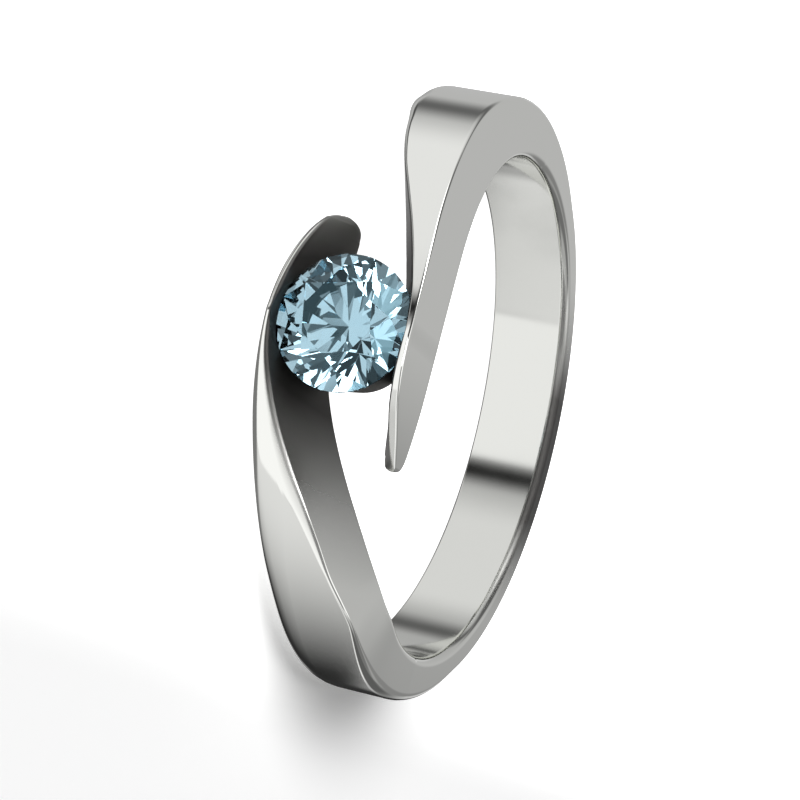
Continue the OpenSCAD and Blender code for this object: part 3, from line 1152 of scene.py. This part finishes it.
def aquamarine():
    """Clear pale blue beryl with a faint uneven tint."""
    gem = bpy.data.materials.new("aquamarine")
    gem.use_nodes = True
    tree = gem.node_tree
    glass = tree.nodes["Principled BSDF"]
    glass.inputs["Roughness"].default_value = 0
    glass.inputs["IOR"].default_value = STONE_IOR
    glass.inputs["Specular Tint"].default_value = STONE_SHINE
    glass.inputs["Transmission Weight"].default_value = 1
    zones = tree.nodes.new("ShaderNodeTexNoise")
    zones.inputs["Scale"].default_value = ZONE_SIZE
    zones.inputs["Detail"].default_value = 1
    tree.links.new(ring_place(tree), zones.inputs["Vector"])
    zone = map_range(tree, zones.outputs["Fac"], *ZONE_RANGE, 0, 1)
    tree.links.new(blend(tree, zone, GEM_LIGHT, GEM_DEEP), glass.inputs["Base Color"])
    body = tree.nodes.new("ShaderNodeVolumeAbsorption")
    body.inputs["Color"].default_value = GEM_ABSORBS
    body.inputs["Density"].default_value = GEM_DENSITY
    tree.links.new(body.outputs["Volume"], tree.nodes["Material Output"].inputs["Volume"])
    return gem


stone = finished(stone_bm, "stone_brilliant", aquamarine(), False)

# %% [markdown]
# ## Joining the frame
#
# Each finished piece takes the place of its plain solid. Nothing on a ring moves, so both
# ride on its one body.

# %% Frame calls
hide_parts("band")
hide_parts("stone")
for piece in (band, stone):
    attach(piece, "root")
print("riding on the ring:", band.name, stone.name)

# %% [markdown]
# ## The ground
#
# The ring lies on a plain pale sheet, and its glow is painted light. The sheet is left out of the
# reflections, because the cards of the studio stand for all that the metal sees.

# %% Pale sheet
SHEET_SIZE = 2

floor_bm = bmesh.new()
bmesh.ops.create_grid(floor_bm, x_segments=1, y_segments=1, size=SHEET_SIZE)
floor = as_object(floor_bm, "floor")
floor.visible_glossy = False
floor.visible_transmission = False
print("the sheet lies at z", floor.data.vertices[0].co.z)

# %% [markdown]
# ## The glow of the sheet
#
# The sheet's emission is painted light: it glows though no lamp is under it, makes a white
# ground and washes out the shadows. Here the glow fades away toward one end of the sheet.
# Only there the ring keeps a soft shadow, and that shows that it lies on something.

# %% Glow of the sheet
# Painted light: the sheet's glow washes out the ring's shadow except toward one end
GLOW_FROM, GLOW_TO = 5.5, 12.5
GLOW = (1.0, 0.02)
glowing_sheet = bpy.data.materials.new("sheet_with_painted_glow")
glowing_sheet.use_nodes = True
tree = glowing_sheet.node_tree
sheet = tree.nodes["Principled BSDF"]
sheet.inputs["Base Color"].default_value = (0.9, 0.9, 0.9, 1)
sheet.inputs["Roughness"].default_value = 1
sheet.inputs["Emission Color"].default_value = (1, 1, 1, 1)
along = split(tree, ring_place(tree))["X"]
glow = map_range(tree, along, GLOW_FROM, GLOW_TO, *GLOW, "SMOOTHSTEP")
tree.links.new(glow, sheet.inputs["Emission Strength"])
floor.data.materials.append(glowing_sheet)
print("the glow fades from", GLOW[0], "to", GLOW[1], "between", GLOW_FROM, "and", GLOW_TO, "mm")

# %% [markdown]
# ## The studio
#
# Polished metal shows nothing but the room around it, so the room is the finish. Here it
# is a grey tent with a few large cards in it: bright ones that lie along the arms as broad
# highlights, and dark ones between them that draw the edges. Each card is a patch of
# the sky, placed by its azimuth and its height, with soft borders.

# %% One card
CARD_ANGLES = ("Azimuth", "Half width", "Side softness", "Low", "High", "End softness")


def card_group():
    """Shader group that says how much of a direction lies on one card."""
    group = bpy.data.node_groups.new("card", "ShaderNodeTree")
    group.interface.new_socket("Direction", in_out="INPUT", socket_type="NodeSocketVector")
    for name in CARD_ANGLES:
        group.interface.new_socket(name, in_out="INPUT", socket_type="NodeSocketFloat")
    group.interface.new_socket("Mask", in_out="OUTPUT", socket_type="NodeSocketFloat")
    nodes, links = group.nodes, group.links
    given = nodes.new("NodeGroupInput")
    result = nodes.new("NodeGroupOutput")

    def math_node(operation, *values):
        node = nodes.new("ShaderNodeMath")
        node.operation = operation
        for socket, value in zip(node.inputs, values):
            if isinstance(value, (int, float)):
                socket.default_value = value
            else:
                links.new(value, socket)
        return node.outputs[0]

    def soft_step(value, start, end):
        node = nodes.new("ShaderNodeMapRange")
        node.interpolation_type = "SMOOTHSTEP"
        links.new(value, node.inputs["Value"])
        links.new(start, node.inputs["From Min"])
        links.new(end, node.inputs["From Max"])
        return node.outputs["Result"]

    turned = nodes.new("ShaderNodeVectorRotate")
    turned.rotation_type = "Z_AXIS"
    links.new(given.outputs["Direction"], turned.inputs["Vector"])
    links.new(given.outputs["Azimuth"], turned.inputs["Angle"])
    parts = nodes.new("ShaderNodeSeparateXYZ")
    links.new(turned.outputs["Vector"], parts.inputs["Vector"])
    beside = math_node("ABSOLUTE", math_node("ARCTAN2", parts.outputs["X"], parts.outputs["Y"]))
    width, side_soft = given.outputs["Half width"], given.outputs["Side softness"]
    across = soft_step(beside, math_node("ADD", width, side_soft), math_node("SUBTRACT", width, side_soft))
    height = math_node("ARCSINE", parts.outputs["Z"])
    low, high, end_soft = given.outputs["Low"], given.outputs["High"], given.outputs["End softness"]
    over = soft_step(height, math_node("SUBTRACT", low, end_soft), math_node("ADD", low, end_soft))
    under = soft_step(height, math_node("ADD", high, end_soft), math_node("SUBTRACT", high, end_soft))
    mask = math_node("MULTIPLY", across, math_node("MULTIPLY", over, under))
    links.new(mask, result.inputs["Mask"])
    return group


card = card_group()
print("a card is set by", len(CARD_ANGLES), "angles")

# %% [markdown]
# ## The cards
#
# All angles are in degrees. An azimuth of 0 points past the back of the ring and 180
# past its head, and a height of 90 is straight up. A later card covers an earlier one
# where both lie, as it would on a stand in front of it.

# %% Table of the cards
WALL = 0.49
CARDS = [
    # name, azimuth, half width, side softness, low, high, end softness, brightness
    ("front light", 180, 75, 20, 15, 80, 8, 5.0),
    ("overhead light", 0, 180, 1, 62, 90, 4, 1.20),
    ("dark overhead", -75, 35, 8, 30, 75, 6, 0.14),
    ("dark floor", 60, 62, 3, -90, -19, 0.6, 0.024),
    ("floor light", 160, 86.5, 48.5, -90, -19, 0.6, 0.78),
    ("soft corner", 52, 36, 8, -15.5, 12, 4, 0.33),
    ("low corner", 48, 28, 8, -15, 10, 1, 0.11),
    ("dark behind", 52, 18, 8, 8, 60, 4, 0.18),
    ("soft shade", 13, 16, 9, 6, 45, 4, 0.24),
    ("right softbox", 78, 47, 6, -18.8, -16.2, 0.5, 0.84),
    ("high softbox", 113, 25, 8, -16, 8, 1, 1.06),
    ("edge light", -10, 20, 6, -11, 6, 4, 0.66),
    ("dark horizon", 8, 9, 5, -30, -8, 3, 0.029),
    ("left softbox", -112, 34, 12, -24, 20, 3, 0.845),
    ("bright softbox", 158.5, 35, 1.5, -90, 20, 3, 1.03),
    ("right wall", 122, 28, 3, 9, 62, 3, 0.30),
    ("dark gap", -160.5, 5, 4.5, -40, 30, 6, 0.018),
    ("thin gap", -60, 6.5, 6, -30, 30, 3, 0.13),
    ("dark under left", -100, 44, 4, -36, -26, 2, 0.08),
    ("grey front floor", -15, 28, 4, -50, -24, 2, 0.40),
    ("dark nadir", 0, 180, 1, -90, -54, 3, 0.20),
    ("lens", 171, 12, 2, 8, 34, 2, 0.12),
    ("dark left panel", -157, 19, 2, 2, 70, 2, 0.06),
]

print("cards in the studio:", len(CARDS))

# %% [markdown]
# ## The tent
#
# The world starts as the grey of the tent's wall, and each card is mixed over what is
# there. The tent is tipped with the ring, so that the cards keep their place to it. It
# lights no matt thing, and so the ground gets all its light from the lamp and from its own painted glow.

# %% Hang the cards
world = bpy.data.worlds.new("studio")
bpy.context.scene.world = world
world.use_nodes = True
world.cycles.sampling_method = "NONE"
world.cycles_visibility.diffuse = False
sky = world.node_tree
looking = sky.nodes.new("ShaderNodeTexCoord")
level_with_ring = sky.nodes.new("ShaderNodeVectorRotate")
level_with_ring.rotation_type = "X_AXIS"
level_with_ring.inputs["Angle"].default_value = rest_tilt
sky.links.new(looking.outputs["Generated"], level_with_ring.inputs["Vector"])
behind = None
for name, *angles, bright in CARDS:
    mask = sky.nodes.new("ShaderNodeGroup")
    mask.node_tree = card
    mask.label = name
    sky.links.new(level_with_ring.outputs["Vector"], mask.inputs["Direction"])
    for socket, degrees in zip(CARD_ANGLES, angles):
        mask.inputs[socket].default_value = math.radians(degrees)
    mix = sky.nodes.new("ShaderNodeMix")
    mix.data_type = "FLOAT"
    sky.links.new(mask.outputs["Mask"], mix.inputs["Factor"])
    mix.inputs["A"].default_value = WALL
    if behind:
        sky.links.new(behind, mix.inputs["A"])
    mix.inputs["B"].default_value = bright
    behind = mix.outputs["Result"]
sky.links.new(behind, sky.nodes["Background"].inputs["Color"])
print("nodes in the tent:", len(sky.nodes))

# %% [markdown]
# ## The lamp
#
# One broad lamp high over the head's side lights the sheet and casts the soft shadow. Like
# the sheet it is left out of the reflections. The plain view transform shows each
# card just as bright as the table of cards says.

# %% Lamp
LAMP_SOFT = math.radians(40)
LAMP_POWER = 5.1
LAMP_SIDE = Vector((-0.32, -0.70, 0.63))

lamp = bpy.data.lights.new("high_lamp", "SUN")
lamp.angle = LAMP_SOFT
lamp.energy = LAMP_POWER
lamp_object = placed(lamp, "high_lamp")
lamp_object.matrix_world = (-LAMP_SIDE).to_track_quat("-Z", "Y").to_matrix().to_4x4()
lamp_object.visible_glossy = False
lamp_object.visible_transmission = False
bpy.context.scene.view_settings.view_transform = "Standard"
print(f"the lamp stands {math.degrees(math.asin(LAMP_SIDE.normalized().z)):.0f} degrees high")
